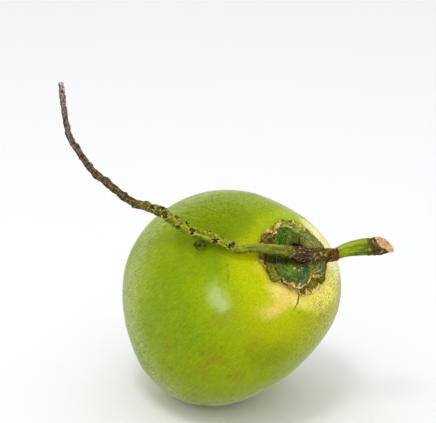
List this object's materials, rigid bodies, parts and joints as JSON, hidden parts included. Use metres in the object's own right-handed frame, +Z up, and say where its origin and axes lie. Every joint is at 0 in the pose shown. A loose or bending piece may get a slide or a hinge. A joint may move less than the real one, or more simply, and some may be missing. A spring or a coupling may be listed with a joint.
{
  "type": "green coconut",
  "caption": "Young green coconut lying on its side, with its calyx of dry-edged leaves and the flower stalk that crosses it, cut at one end and dry at the other.",
  "frame": {"origin": "centre of the small flat that the husk rests on", "axes": "+Z up; the stem end points up, toward -Y and +X, and the dry end of the stalk reaches toward -X and +Y"},
  "size_m": [0.261, 0.1761, 0.2465],
  "materials": {
    "husk": "satin",
    "petal": "matte",
    "sepal": "matte",
    "stalk": "matte",
    "dry_bract": "matte",
    "spent_flower": "matte"
  },
  "bodies": {
    "root": {"husk": "husk", "petal_1": "petal", "petal_2": "petal", "petal_3": "petal", "sepal_1": "sepal", "sepal_2": "sepal", "sepal_3": "sepal", "stalk": "stalk", "dry_bract": "dry_bract", "spent_flower": "spent_flower"}
  },
  "joints": []
}
